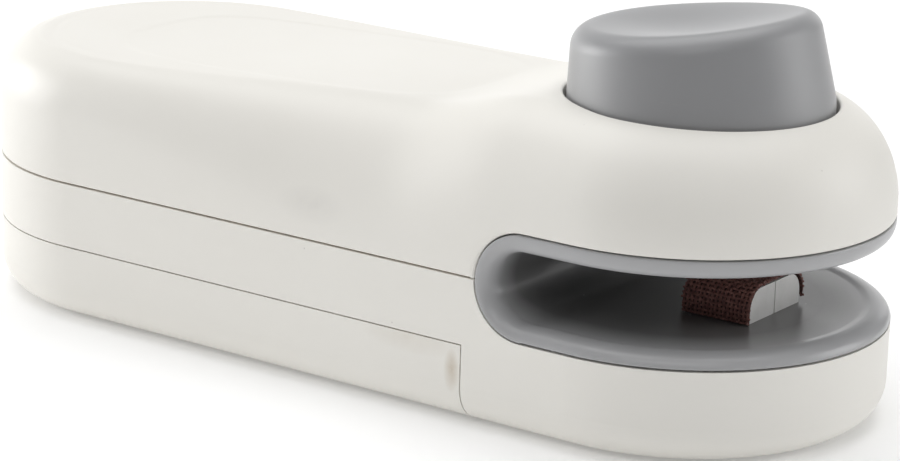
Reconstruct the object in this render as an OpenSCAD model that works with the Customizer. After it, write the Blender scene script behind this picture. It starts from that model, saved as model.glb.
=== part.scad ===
// Handheld bag heat sealer: two shells, a C-shaped jaw lining, a press button
// with a silicone pad, a taped heating block, two AA cells and a sliding battery door.
// Origin: middle of the outline, on the flat underside. +X points to the jaw, +Z is up.

/* [Housing] */
// Length of the housing
body_l = 105; // [105:0.5:108]
// Width of the housing
body_w = 41.2; // [41.2:0.2:42.4]
// Height of the top round the button
top_z = 31.6; // [31.4:0.1:32]
// Wall of the two shells and of the battery door
wall = 1.8; // [1.6:0.1:1.9]
// Rounding of the underside's edge
bottom_r = 3.8; // [2.6:0.2:4.2]
// Height of the seam between the shells
seam_z = 15.1; // [15:0.05:15.2]
// Height of the battery door's upper edge
door_z = 8.2; // [8:0.1:8.3]
// Place of the battery door's front edge along the housing
door_front_x = 19.7; // [19.5:0.1:20]
// Open line between neighbouring outer pieces
seam_gap = 0.14; // [0.08:0.02:0.2]

/* [Jaw] */
// Lower edge of the jaw lining
liner_low_z = 9.65; // [9.5:0.05:9.8]
// Upper edge of the jaw lining
liner_high_z = 20.55; // [20.4:0.05:20.6]
// Floor of the bag slot
floor_z = 11.1; // [11:0.05:11.2]
// Ceiling of the bag slot
ceiling_z = 18.6; // [18.5:0.05:18.7]
// Middle of the slot's round inner end along the housing
slot_x = 26.4; // [26.2:0.1:26.8]

/* [Button] */
// Place of the button's axis along the housing
button_x = 33; // [32.8:0.1:33.2]
// Radius of the hole in the upper shell
button_hole_r = 13.45; // [13.4:0.05:13.5]
// Radius of the button where it leaves the shell
button_r = 13.1; // [12.9:0.05:13.15]
// Height of the button's top at its axis
button_top_z = 38.8; // [38:0.2:40]
// Slant of the button's top, in degrees
button_slant = 7; // [4:0.5:7.5]
// Travel of the button
button_travel = 2.8; // [2:0.1:2.8]

/* [Heater] */
// Middle of the heating block along the housing
heater_x = 38.85; // [38.6:0.05:39]
// Length of the block along the housing
block_l = 7.1; // [6.6:0.1:7.2]
// Width of the block across the housing
block_w = 9.6; // [8.8:0.1:9.8]
// Height of the block over the slot floor
block_h = 3.3; // [3:0.1:3.5]

/* [Cells] */
// Radius of an AA cell
cell_r = 7.1; // [7:0.05:7.15]
// Length of an AA cell's can
cell_can_l = 49.2; // [49:0.1:49.3]
// Length of an AA cell's raised pole
cell_pole_l = 1.2; // [1:0.1:1.3]

/* [Hidden] */
$fn = 64;
eps = 0.01;
past = 5;
far = 20;

// Outline: a slab with two round ends
end_r = body_w / 2;
end_x = body_l / 2 - end_r;

// Top shape at three stations: rear end, middle, nose
blend_rear_x = -end_x;
blend_mid_x = 10;
blend_nose_x = 37;
shoulder_w = [4.8, 9.7, 8.2];
shoulder_h = [6, 13.4, 9.9];
crown_z = [top_z - 3.6, top_z - 2.6, top_z];
crown_rise_x = [8, 22];
station_inset = 5;
arc_steps = 15;
side_steps = 9;
shoulder_steps = 6;

// Jaw slot
slot_mid_z = (liner_low_z + liner_high_z) / 2;
slot_outer_r = (liner_high_z - liner_low_z) / 2;
mouth_mid_z = (floor_z + ceiling_z) / 2;
mouth_r = (ceiling_z - floor_z) / 2;
floor_t = floor_z - liner_low_z;
ceiling_t = liner_high_z - ceiling_z;
lip_floor_r = floor_t - 0.1;
lip_ceiling_r = ceiling_t - 0.1;
lip_end_r = 1.4;
lining_rib_t = 1;
lining_rib_h = 1.2;

// Button and plunger
button_draft = 0.16;
flange_r = 14.3;
flange_z = 27.6;
flange_t = 0.9;
button_edge_r = 1.9;
button_flare = 0.35;
dish_r = 72;
dish_depth = 0.8;
button_hollow_r = 10.5;
button_roof_z = 35.2;
stem_r = 3;
stem_fit = 0.08;
stem_top_z = 33;
button_post_h = 4;
peg_low_z = 31.5;
finger_r = 1;
finger_gap = 0.5;
carrier_t = 1.6;
pad_gap = 0.3;
tape_stack = 0.5;
block_top_z = floor_z + block_h;
pad_z = block_top_z + tape_stack + button_travel + pad_gap;
pad_t = 2.1;
pad_l = block_l + 0.6;
pad_w = 11.2;
carrier_z = pad_z + pad_t;
window_play = 0.4;
screw_r = 1.1;
screw_head_r = 2;
screw_head_t = 1.2;
pilot_r = screw_r - 0.2;
way_r = screw_r + 0.2;
head_way_r = screw_head_r + 0.2;
thread_r = screw_r - 0.25;
screw_seat_gap = 0.05;

// Guide plate
plate_z = 23;
plate_t = 1.6;
plate_top_z = plate_z + plate_t;
collar_in_r = 14.65;
collar_out_r = 15.65;
collar_h = 2.8;
plate_neck_x = 26;
plate_neck_y = 15.2;
plate_rear_x = 12.4;
guide_screw_x = 15.4;
guide_screw_y = 6;
spring_x = 28.6;
spring_r = 3;
spring_wire_r = 0.35;
spring_peg_r = 2.1;

// Switch under the button
switch_x = 29.3;
switch_y = 6.1;
switch_l = 5.2;
switch_w = 3.2;
pin_x = [switch_x - 1.8, switch_x + 1.2];
leaf_t = 0.25;
leaf_tip_z = 28;

// Fixings between the shells
front_screw_x = 17.9;
front_screw_y = 14.5;
rear_screw_x = -46.6;
boss_r = 2.4;
guide_boss_r = 2.1;
boss_gap = 0.05;
shell_pilot_l = 10;
guide_pilot_l = 3.4;
tray_pilot_l = 7;
shell_screw_l = [17, 13];
guide_screw_l = 4.4;
tray_screw_l = 6;
rear_shelf_z = [9, 10.6];
rear_shelf_y = 6;

// Battery bay
tray_rear_x = -41.4;
tray_front_x = 14;
tray_wall = 1.2;
tray_in_y = 15;
tray_out_y = 15.8;
tray_low_z = 2.6;
tray_roof_z = 17;
cell_y = 7.45;
cell_z = 9.6;
contact_t = 0.4;
contact_gap = 0.05;
left_cell_x = tray_front_x - contact_t - contact_gap - cell_pole_l - cell_can_l;
right_cell_x = tray_rear_x + contact_t + contact_gap + cell_pole_l;
tray_screw_x = [-30, 2];
rail_x = [-31, 13.5];
rail_z = 3.6;
rail_t = 1.2;
rail_out_y = 17.4;
hook_gap = 0.2;
hook_in_y = 16.2;
hook_t = 1;

// Shelf under each front screw post
shelf_x = [15.5, 21.5];
shelf_y = [12, 18.6];
shelf_z = [3.4, 5];
front_seat_z = 7;
rear_seat_z = 10.4;

// Catch at the door's front edge
catch_x = 12;
catch_y = 6;
catch_z = 2.6;
catch_reach = 1.4;

// Grip grooves under the door
grip_x = -40;
grip_pitch = 2.4;
grip_count = 6;
grip_w = 14;
grip_depth = 0.4;

lead_r = 0.6;
terminal_y = 7.6;
terminal_z = 6.2;
terminal_t = 0.4;
terminal_half_l = 1.6;
terminal_post_r = 2;
terminal_pilot_l = 1.6;
terminal_head_r = 1.5;
ribbon_w = 2.5;
ribbon_play = 0.6;

// The block's foot under the slot floor and its shoulders over it
foot_x = 2.9;
foot_y = 3.6;
foot_out_y = 4.2;
foot_deep = 2.4;
foot_play = 0.1;
block_shoulder_r = 2;
tape_in = 0.25;
tape_over = 0.4;
tape_foot_y = 2;
tape_foot_z = floor_z + 0.7;

lead_start_x = tray_front_x + tray_wall + 0.9;
lead_start_z = 14.45;
upper_run_z = 21.9;
lower_run_z = 5.4;
lead_run_y = 10.35;
behind_slot_x = 19.2;

shell_white = [0.93, 0.925, 0.91];
grey = [0.55, 0.55, 0.56];
brass = [0.78, 0.66, 0.36];
steel = [0.72, 0.73, 0.75];

// ---------- outlines and common shapes ----------

// The housing's plan outline, moved inwards by inset
module plan(inset = 0) {
    for (side = [-1, 1])
        translate([side * end_x, 0])
            circle(r = end_r - inset, $fn = 120);
    square([2 * end_x, 2 * (end_r - inset)], center = true);
}

// A prism of the plan between two heights
module slab(inset, z0, z1) {
    translate([0, 0, z0])
        linear_extrude(z1 - z0)
            plan(inset);
}

// Half section of the rounded underside: radius along X, height along Y
module underside_section(inset, z0, z1) {
    r = end_r - inset;
    f = max(bottom_r - inset, 0.5);
    translate([0, z0 + f])
        square([r, z1 - z0 - f]);
    translate([0, z0])
        square([r - f, f + eps]);
    intersection() {
        translate([r - f, z0 + f])
            circle(r = f);
        translate([r - f - eps, z0])
            square([f + eps, f + eps]);
    }
}

// The plan swept with the rounded underside
module rounded_slab(inset, z0, z1) {
    for (side = [-1, 1])
        translate([side * end_x, 0, 0])
            rotate_extrude($fn = 120)
                underside_section(inset, z0, z1);
    for (side = [0, 1])
        mirror([0, side, 0])
            translate([-end_x, 0, 0])
                rotate([90, 0, 90])
                    linear_extrude(2 * end_x)
                        underside_section(inset, z0, z1);
}

// A box between two corners
module span(low, high) {
    translate(low)
        cube(high - low);
}

// Everything in front of a given place, for splitting
module ahead_of(x) {
    span([x, -end_r - past, -past], [end_x + end_r + past, end_r + past, top_z + far]);
}

module behind(x) {
    span([-end_x - end_r - past, -end_r - past, -past], [x, end_r + past, top_z + far]);
}

// A slot that is open to the front, round at its inner end, cut across the housing
module cross_slot(mid_z, r, half_w) {
    rotate([90, 0, 0])
        translate([0, 0, -half_w])
            linear_extrude(2 * half_w) {
                translate([slot_x, mid_z])
                    circle(r = r, $fn = 96);
                translate([slot_x, mid_z - r])
                    square([end_x + end_r - slot_x + past, 2 * r]);
            }
}

// ---------- top shape ----------

function ease(t) = let (c = max(0, min(1, t))) c * c * (3 - 2 * c);

// A value at place x, from its values at the rear, the middle and the nose
function along(x, v) =
    let (to_mid = ease((x - blend_rear_x) / (blend_mid_x - blend_rear_x)),
         to_nose = ease((x - blend_mid_x) / (blend_nose_x - blend_mid_x)))
    v[0] * (1 - to_mid) + v[1] * to_mid * (1 - to_nose) + v[2] * to_mid * to_nose;

// Height of the middle of the top, which rises to the nose just behind the button
function crown(x) =
    let (to_mid = ease((x - blend_rear_x) / (blend_mid_x - blend_rear_x)),
         to_nose = ease((x - crown_rise_x[0]) / (crown_rise_x[1] - crown_rise_x[0])),
         low = crown_z[0] + (crown_z[1] - crown_z[0]) * to_mid)
    low + (crown_z[2] - low) * to_nose;

// The outline as [centre x, normal x, normal y], once round, from the rear
function half_outline() = concat(
    [for (i = [0 : arc_steps]) [-end_x, -cos(i * 90 / arc_steps), -sin(i * 90 / arc_steps)]],
    [for (i = [1 : side_steps - 1]) [-end_x + 2 * end_x * i / side_steps, 0, -1]],
    [for (i = [0 : arc_steps]) [end_x, sin(i * 90 / arc_steps), -cos(i * 90 / arc_steps)]]
);
function full_outline() =
    let (half = half_outline(), n = len(half))
    concat(half, [for (i = [n - 2 : -1 : 1]) [half[i][0], half[i][1], -half[i][2]]]);

// One point of the shoulder: turn is 0 on the side wall and 90 on the top
function shoulder_point(o, turn, inset) =
    let (x = o[0] + (end_r - station_inset) * o[1],
         w = along(x, shoulder_w) - inset,
         h = along(x, shoulder_h) - inset,
         r = end_r - inset - w * (1 - cos(turn)))
    [o[0] + r * o[1], r * o[2], crown(x) - inset - h * (1 - sin(turn))];

// Solid of the plan from z0 up to the crowned top, inset by a wall
module crowned_slab(inset, z0) {
    outline = full_outline();
    n = len(outline);
    rings = shoulder_steps + 2;
    r = end_r - inset;
    points = concat(
        [for (o = outline) [o[0] + r * o[1], r * o[2], z0]],
        [for (k = [0 : shoulder_steps], o = outline)
            shoulder_point(o, 90 * k / shoulder_steps, inset)]
    );
    top = (rings - 1) * n;
    sides = [for (k = [0 : rings - 2], i = [0 : n - 1], half = [0, 1])
        let (a = k * n + i, b = k * n + (i + 1) % n)
        half == 0 ? [a, b + n, b] : [a, a + n, b + n]];
    roof = [for (i = [0 : n / 2 - 1], half = [0, 1])
        let (a = top + i, b = top + i + 1, c = top + (n - i - 1) % n, d = top + (n - i) % n)
        half == 0 ? [a, c, b] : [a, d, c]];
    roof_faces = [for (f = roof) if (f[0] != f[1] && f[1] != f[2] && f[0] != f[2]) f];
    base = [[for (i = [0 : n - 1]) i]];
    polyhedron(points, concat(sides, roof_faces, base), convexity = 6);
}

// ---------- fastener and spring shapes ----------

// Pan-head screw, head downwards, tip up, cross recess in the head
module screw(head_z, length, r = screw_r, head_r = screw_head_r) {
    difference() {
        union() {
            translate([0, 0, head_z])
                cylinder(r = head_r, h = screw_head_t);
            translate([0, 0, head_z + screw_head_t - eps])
                cylinder(r = r, h = length - r);
            translate([0, 0, head_z + screw_head_t + length - r - 2 * eps])
                cylinder(r1 = r, r2 = 0.3, h = r);
        }
        for (turn = [0, 90])
            rotate(turn)
                translate([-head_r * 0.6, -0.25, head_z - eps])
                    cube([head_r * 1.2, 0.5, 0.7]);
    }
}

// Round wire wound along +Z
module coil(mean_r, wire_r, height, turns) {
    per_turn = 20;
    sides = 8;
    steps = turns * per_turn;
    climb = (height - 2 * wire_r) / steps;
    points = [for (i = [0 : steps], j = [0 : sides - 1])
        let (a = i * 360 / per_turn,
             b = (j + 0.5) * 360 / sides,
             r = mean_r + wire_r * cos(b))
        [r * cos(a), r * sin(a), wire_r + climb * i + wire_r * sin(b)]];
    skin = [for (i = [0 : steps - 1], j = [0 : sides - 1], half = [0, 1])
        let (a = i * sides + j, b = i * sides + (j + 1) % sides)
        half == 0 ? [a, b + sides, a + sides] : [a, b, b + sides]];
    first = [[for (j = [sides - 1 : -1 : 0]) j]];
    last = [[for (j = [0 : sides - 1]) steps * sides + j]];
    polyhedron(points, concat(skin, first, last), convexity = 8);
}

function unit(v) = v / norm(v);

// Direction of a path at its point i
function heading(path, i) =
    let (n = len(path) - 1,
         back = i > 0 ? unit(path[i] - path[i - 1]) : [0, 0, 0],
         on = i < n ? unit(path[i + 1] - path[i]) : [0, 0, 0])
    unit(back + on);

// Insulated lead through a list of points
module lead(path) {
    sides = 12;
    aside = [0.37, 0.71, 0.6];
    points = [for (i = [0 : len(path) - 1], j = [0 : sides - 1])
        let (t = heading(path, i),
             u = unit(cross(t, aside)),
             v = cross(t, u))
        path[i] + lead_r * (cos(j * 360 / sides) * u + sin(j * 360 / sides) * v)];
    skin = [for (i = [0 : len(path) - 2], j = [0 : sides - 1], half = [0, 1])
        let (a = i * sides + j, b = i * sides + (j + 1) % sides)
        half == 0 ? [a, a + sides, b + sides] : [a, b + sides, b]];
    first = [[for (j = [0 : sides - 1]) j]];
    last = [[for (j = [sides - 1 : -1 : 0]) (len(path) - 1) * sides + j]];
    polyhedron(points, concat(skin, first, last), convexity = 6);
}

// ---------- shells ----------

module upper_shell() {
    color(shell_white)
    difference() {
        union() {
            difference() {
                crowned_slab(0, seam_z + seam_gap / 2);
                crowned_slab(wall, seam_z - 1);
            }
            intersection() {
                crowned_slab(wall / 2, seam_z - 1);
                upper_bosses();
            }
        }
        cross_slot(slot_mid_z, slot_outer_r, end_r + 1);
        translate([button_x, 0, plate_top_z])
            cylinder(r = button_hole_r, h = far, $fn = 120);
        for (side = [-1, 1])
            translate([front_screw_x, side * front_screw_y, seam_z - eps])
                cylinder(r = pilot_r, h = shell_pilot_l);
        translate([rear_screw_x, 0, seam_z - eps])
            cylinder(r = pilot_r, h = shell_pilot_l);
        for (side = [-1, 1])
            translate([guide_screw_x, side * guide_screw_y, plate_top_z - eps])
                cylinder(r = pilot_r, h = guide_pilot_l);
        for (x = tray_screw_x)
            translate([x, 0, tray_roof_z + tray_wall - eps])
                cylinder(r = pilot_r, h = tray_pilot_l);
    }
}

// Posts that hang from the upper shell's roof, before they are trimmed to it
module upper_bosses() {
    for (side = [-1, 1])
        boss(front_screw_x, side * front_screw_y, seam_z + seam_gap / 2, boss_r);
    boss(rear_screw_x, 0, seam_z + seam_gap / 2, boss_r);
    for (side = [-1, 1])
        boss(guide_screw_x, side * guide_screw_y, plate_top_z + boss_gap, guide_boss_r);
    for (x = tray_screw_x)
        boss(x, 0, tray_roof_z + tray_wall + boss_gap, boss_r);
}

module boss(x, y, z0, r) {
    translate([x, y, z0])
        cylinder(r = r, h = top_z - z0);
}

module lower_shell() {
    color(shell_white)
    difference() {
        union() {
            difference() {
                rounded_slab(0, 0, seam_z - seam_gap / 2);
                lower_hollow();
            }
            lower_fittings();
        }
        battery_bay_cut();
        cross_slot(slot_mid_z, slot_outer_r, end_r + 1);
        for (side = [-1, 1])
            translate([front_screw_x, side * front_screw_y, 0])
                screw_way(front_seat_z);
        translate([rear_screw_x, 0, 0])
            screw_way(rear_seat_z);
        for (side = [-1, 1])
            translate([heater_x, side * terminal_y, terminal_z - terminal_pilot_l])
                cylinder(r = pilot_r, h = terminal_pilot_l + boss_gap);
    }
}

// Inside of the lower shell: the jaw's floor is the only closed bottom
module lower_hollow() {
    intersection() {
        rounded_slab(wall, wall, seam_z + 1);
        slab(0, wall, seam_z + 1);
    }
}

// What the battery door takes away from the lower shell
module battery_bay_cut() {
    intersection() {
        behind(door_front_x + seam_gap / 2);
        difference() {
            slab(-1, -1, door_z + seam_gap / 2);
            for (side = [0, 1])
                mirror([0, side, 0])
                    span([shelf_x[0], shelf_y[0], shelf_z[0]],
                         [door_front_x + 1, shelf_y[1], door_z + 1]);
        }
    }
}

// Clearance for a screw's shaft and head, the head's seat at height seat_z
module screw_way(seat_z) {
    translate([0, 0, seat_z - eps])
        cylinder(r = way_r, h = seam_z);
    translate([0, 0, -eps])
        cylinder(r = head_way_r, h = seat_z);
}

module lower_fittings() {
    intersection() {
        slab(wall / 2, wall / 2, seam_z - seam_gap / 2);
        union() {
            // Screw posts beside the battery bay, each on a short shelf
            for (side = [-1, 1])
                translate([front_screw_x, side * front_screw_y, shelf_z[0]])
                    cylinder(r = boss_r, h = seam_z);
            for (side = [0, 1])
                mirror([0, side, 0])
                    span([shelf_x[0], shelf_y[0], shelf_z[0]], [shelf_x[1], end_r, shelf_z[1]]);
            // Screw post at the rear
            translate([rear_screw_x, 0, rear_shelf_z[0]])
                cylinder(r = boss_r, h = seam_z);
            span([-end_x - end_r, -rear_shelf_y, rear_shelf_z[0]],
                 [rear_screw_x + boss_r, rear_shelf_y, rear_shelf_z[1]]);
            // Posts under the heater terminals
            for (side = [-1, 1])
                translate([heater_x, side * terminal_y, wall / 2])
                    cylinder(r = terminal_post_r, h = terminal_z - boss_gap - wall / 2);
        }
    }
}

module battery_door() {
    color(shell_white)
    difference() {
        union() {
            difference() {
                rounded_slab(0, 0, door_z - seam_gap / 2);
                rounded_slab(wall, wall, door_z + 1);
                ahead_of(door_front_x - seam_gap / 2);
            }
            for (side = [0, 1])
                mirror([0, side, 0])
                    door_hook();
            // Catch over the edge of the jaw's underside
            span([catch_x, -catch_y, wall - eps], [door_front_x - 1, catch_y, catch_z]);
            span([door_front_x - 1, -catch_y, wall + 0.1],
                 [door_front_x + catch_reach, catch_y, catch_z]);
        }
        door_grip();
    }
}

// Hook that runs along the top of the battery tray's rail
module door_hook() {
    low_z = rail_z + rail_t + hook_gap;
    span([rail_x[0], hook_in_y, low_z], [rail_x[1], end_r - wall + 0.5, low_z + hook_t]);
}

// Grip grooves in the door's underside
module door_grip() {
    for (i = [0 : grip_count - 1])
        translate([grip_x + grip_pitch * i, -grip_w / 2, -grip_depth])
            cube([grip_pitch / 2, grip_w, 2 * grip_depth]);
}

// ---------- jaw ----------

module jaw_liner() {
    color(grey)
    difference() {
        union() {
            intersection() {
                slab(0, liner_low_z, liner_high_z);
                difference() {
                    cross_slot(slot_mid_z, slot_outer_r - seam_gap, end_r + 1);
                    cross_slot(mouth_mid_z, mouth_r, end_r + 2);
                }
            }
            locating_rib(liner_low_z - lining_rib_h, liner_low_z + 0.5);
            locating_rib(liner_high_z - 0.5, liner_high_z + lining_rib_h);
        }
        lip_cutters();
        liner_windows();
    }
}

// Upright rib just inside a shell's rim
module locating_rib(z0, z1) {
    intersection() {
        difference() {
            slab(wall + 0.2, z0, z1);
            slab(wall + 0.2 + lining_rib_t, z0 - 1, z1 + 1);
        }
        ahead_of(slot_x + 2);
    }
}

// Openings for the block's foot, the ribbon's legs and the press pad
module liner_windows() {
    span([heater_x - foot_x - foot_play, -foot_y - foot_play, liner_low_z - 2],
         [heater_x + foot_x + foot_play, foot_y + foot_play, floor_z + 0.5]);
    for (side = [-1, 1])
        translate([heater_x, side * (block_w / 2 + 0.1), liner_low_z])
            cube([ribbon_w + ribbon_play, ribbon_play, 6], center = true);
    span([heater_x - pad_l / 2 - window_play, -pad_w / 2 - window_play, ceiling_z - 1],
         [heater_x + pad_l / 2 + window_play, pad_w / 2 + window_play, liner_high_z + 1]);
}

// Rounds the mouth of the slot where it meets the outside
module lip_cutters() {
    // Floor and ceiling lips round the nose
    translate([end_x, 0, 0])
        rotate_extrude($fn = 120) {
            lip_section(lip_floor_r, floor_z, 1);
            lip_section(lip_ceiling_r, ceiling_z, -1);
        }
    // The same lips along the straight flanks
    for (side = [0, 1])
        mirror([0, side, 0])
            translate([slot_x, 0, 0])
                rotate([90, 0, 90])
                    linear_extrude(end_x - slot_x) {
                        lip_section(lip_floor_r, floor_z, 1);
                        lip_section(lip_ceiling_r, ceiling_z, -1);
                    }
    // Lip round the inner end
    for (side = [0, 1])
        mirror([0, side, 0])
            translate([slot_x, 0, mouth_mid_z])
                rotate([-90, 0, 0])
                    intersection() {
                        rotate_extrude($fn = 96)
                            inner_lip_section();
                        translate([-20, -20, 0])
                            cube([20, 40, 40]);
                    }
}

// Corner outside a round edge of radius r whose flat lies at height z
module lip_section(r, z, up) {
    difference() {
        translate([end_r - r, up > 0 ? z - r : z - eps])
            square([r + 1, r + eps]);
        translate([end_r - r, z - up * r])
            circle(r = r);
    }
}

// Flare of the inner end: radius along X, distance across the housing along Y
module inner_lip_section() {
    difference() {
        translate([mouth_r - 1, end_r - lip_end_r])
            square([lip_end_r + 1, lip_end_r + 1]);
        translate([mouth_r + lip_end_r, end_r - lip_end_r])
            circle(r = lip_end_r);
    }
}

// ---------- button and plunger ----------

module press_button() {
    color([0.6, 0.6, 0.61])
    translate([button_x, 0, 0])
        difference() {
            union() {
                button_cap();
                translate([0, 0, flange_z])
                    cylinder(r = flange_r, h = flange_t, $fn = 120);
            }
            difference() {
                translate([0, 0, flange_z - eps])
                    cylinder(r = button_hollow_r, h = button_roof_z - flange_z, $fn = 96);
                button_posts();
            }
            translate([heater_x - button_x, 0, stem_top_z - eps])
                cylinder(r = pilot_r, h = button_post_h + 0.4);
        }
}

// Outside of the button: a drafted drum under a slanted, dished top
module button_cap() {
    top_r = button_r - button_draft * (button_top_z - top_z);
    difference() {
        intersection() {
            union() {
                translate([0, 0, flange_z])
                    cylinder(r = button_r, h = top_z - flange_z + eps, $fn = 120);
                translate([0, 0, top_z])
                    cylinder(r1 = button_r, r2 = top_r - button_draft * 3,
                             h = button_top_z - top_z + 3, $fn = 120);
            }
            translate([0, 0, button_top_z])
                rotate([0, -button_slant, 0])
                    slanted_cap(top_r + 0.35);
        }
        translate([0, 0, button_top_z])
            rotate([0, -button_slant, 0])
                translate([0, 0, dish_r - dish_depth])
                    sphere(r = dish_r, $fn = 160);
    }
}

// Flared disc with a rounded upper edge, its flat top at height 0
module slanted_cap(r) {
    depth = 20;
    rotate_extrude($fn = 120) {
        polygon([
            [0, -depth],
            [r + button_flare * (depth - button_edge_r), -depth],
            [r, -button_edge_r],
            [0, -button_edge_r]
        ]);
        translate([0, -button_edge_r - eps])
            square([r - button_edge_r, button_edge_r + eps]);
        intersection() {
            translate([r - button_edge_r, -button_edge_r])
                circle(r = button_edge_r);
            translate([r - button_edge_r - eps, -button_edge_r - eps])
                square(button_edge_r + 1);
        }
    }
}

// Posts inside the button: stem, spring peg and switch finger
module button_posts() {
    translate([heater_x - button_x, 0, stem_top_z])
        cylinder(r = stem_r + 0.9, h = button_post_h);
    translate([spring_x - button_x, 0, peg_low_z])
        cylinder(r = spring_peg_r, h = button_post_h + 1);
    translate([switch_x + 1.7 - button_x, switch_y, leaf_tip_z + finger_gap])
        cylinder(r = finger_r, h = button_roof_z - leaf_tip_z);
}

module plunger() {
    color([0.85, 0.85, 0.84])
    difference() {
        union() {
            span([heater_x - pad_l / 2 + 0.1, -pad_w / 2 + 0.2, carrier_z],
                 [heater_x + pad_l / 2 - 0.1, pad_w / 2 - 0.2, carrier_z + carrier_t]);
            translate([heater_x, 0, carrier_z])
                cylinder(r = stem_r, h = stem_top_z - carrier_z);
        }
        translate([heater_x, 0, carrier_z - eps])
            cylinder(r = screw_r + 0.15, h = far);
        translate([heater_x, 0, carrier_z - eps])
            cylinder(r = screw_head_r + 0.15, h = screw_head_t + 0.1);
    }
}

module press_pad() {
    color([0.75, 0.74, 0.72])
        span([heater_x - pad_l / 2, -pad_w / 2, pad_z],
             [heater_x + pad_l / 2, pad_w / 2, carrier_z]);
}

module stem_screw() {
    color(steel)
    translate([heater_x, 0, 0])
        screw(carrier_z + screw_seat_gap, stem_top_z - carrier_z + 2, thread_r);
}

module return_spring() {
    color(steel)
    translate([spring_x, 0, plate_top_z + 0.05])
        coil(spring_r, spring_wire_r, button_roof_z - plate_top_z - 0.1, 6);
}

module guide_plate() {
    color([0.85, 0.85, 0.84])
    difference() {
        union() {
            intersection() {
                slab(wall + 1.3, plate_z, plate_top_z);
                ahead_of(plate_neck_x);
            }
            span([plate_rear_x, -plate_neck_y, plate_z],
                 [plate_neck_x + 1, plate_neck_y, plate_top_z]);
            translate([button_x, 0, plate_top_z - eps])
                difference() {
                    cylinder(r = collar_out_r, h = collar_h, $fn = 96);
                    translate([0, 0, -1])
                        cylinder(r = collar_in_r, h = collar_h + 2, $fn = 96);
                }
            translate([spring_x, 0, plate_top_z - eps])
                cylinder(r = spring_peg_r, h = 2);
        }
        for (side = [-1, 1]) {
            translate([front_screw_x, side * front_screw_y, plate_z - 1])
                cylinder(r = boss_r + 0.4, h = 4);
            translate([guide_screw_x, side * guide_screw_y, plate_z - 1])
                cylinder(r = way_r, h = 4);
        }
        translate([heater_x, 0, plate_z - 1])
            cylinder(r = stem_r + stem_fit, h = 4);
        for (x = pin_x)
            translate([x, switch_y, plate_z - 1])
                cylinder(r = lead_r + 0.3, h = 4);
    }
}

module guide_screws() {
    color(steel)
    for (side = [-1, 1])
        translate([guide_screw_x, side * guide_screw_y, 0])
            screw(plate_z - screw_head_t - screw_seat_gap, guide_screw_l, thread_r);
}

// ---------- switch ----------

module switch_base() {
    color([0.15, 0.15, 0.16])
    difference() {
        span([switch_x - switch_l / 2, switch_y - switch_w / 2, plate_top_z + 0.05],
             [switch_x + switch_l / 2, switch_y + switch_w / 2, plate_top_z + 0.75]);
        for (x = pin_x)
            translate([x, switch_y, plate_z])
                cylinder(r = lead_r + 0.1, h = 4);
    }
}

module switch_leaf() {
    foot_z = plate_top_z + 0.8;
    rise = leaf_tip_z - foot_z;
    run = switch_l - 1.6;
    color(brass)
    union() {
        span([switch_x - switch_l / 2, switch_y - 1.2, foot_z],
             [switch_x - switch_l / 2 + 1.5, switch_y + 1.2, foot_z + leaf_t]);
        translate([switch_x - switch_l / 2 + 1.4, switch_y - 1.2, foot_z])
            rotate([0, -atan2(rise - leaf_t, run), 0])
                cube([norm([rise - leaf_t, run]), 2.4, leaf_t]);
    }
}

module switch_contact() {
    color(brass)
        span([switch_x + 1.3, switch_y - 1.2, plate_top_z + 0.8],
             [switch_x + switch_l / 2, switch_y + 1.2, plate_top_z + 0.95]);
}

// ---------- heater ----------

// Arch over the heating block, grown by grow, standing on height z0
module arch(grow, length, z0) {
    half = block_w / 2 + grow;
    shoulder = block_shoulder_r + grow;
    top = block_top_z + grow;
    translate([heater_x - length / 2, 0, 0])
        rotate([90, 0, 90])
            linear_extrude(length) {
                translate([-half, z0])
                    square([2 * half, top - shoulder - z0]);
                translate([-half + shoulder, z0])
                    square([2 * (half - shoulder), top - z0]);
                for (side = [-1, 1])
                    translate([side * (half - shoulder), top - shoulder])
                        intersection() {
                            circle(r = shoulder);
                            translate([-shoulder, -eps])
                                square([2 * shoulder, shoulder + 1]);
                        }
            }
}

module heater_block() {
    color([0.95, 0.94, 0.92])
    difference() {
        union() {
            arch(0, block_l, floor_z + 0.02);
            span([heater_x - foot_x, -foot_y, liner_low_z - foot_deep / 2],
                 [heater_x + foot_x, foot_y, floor_z + 0.5]);
            span([heater_x - foot_x, -foot_out_y, liner_low_z - foot_deep],
                 [heater_x + foot_x, foot_out_y, liner_low_z - foot_deep / 2 + 0.1]);
        }
        // Moulding line down the middle of both faces
        for (side = [-1, 1])
            translate([heater_x + side * block_l / 2, 0, floor_z])
                cube([0.3, 0.2, 20], center = true);
    }
}

module heater_ribbon() {
    color([0.45, 0.43, 0.42])
    union() {
        difference() {
            arch(0.2, ribbon_w, terminal_z + 0.45);
            arch(0.05, ribbon_w + 1, terminal_z);
        }
        for (side = [0, 1])
            mirror([0, side, 0])
                span([heater_x - ribbon_w / 2, block_w / 2 + 0.05, terminal_z + 0.45],
                     [heater_x + ribbon_w / 2, block_w / 2 + 1.2, terminal_z + 0.6]);
    }
}

module heat_tape() {
    color([0.36, 0.2, 0.17])
    difference() {
        arch(tape_stack, block_l + tape_over, floor_z + 0.04);
        arch(tape_in, block_l + 2, floor_z - 1);
        span([heater_x - block_l, tape_foot_y, floor_z - 1],
             [heater_x + block_l, block_w, tape_foot_z]);
    }
}

module heater_terminals() {
    color(brass)
    for (side = [0, 1])
        mirror([0, side, 0])
            difference() {
                span([heater_x - terminal_half_l, block_w / 2, terminal_z],
                     [heater_x + terminal_half_l, terminal_y + 2 * terminal_half_l, terminal_z + terminal_t]);
                translate([heater_x, terminal_y, terminal_z - 1])
                    cylinder(r = screw_r, h = 3);
            }
}

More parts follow.
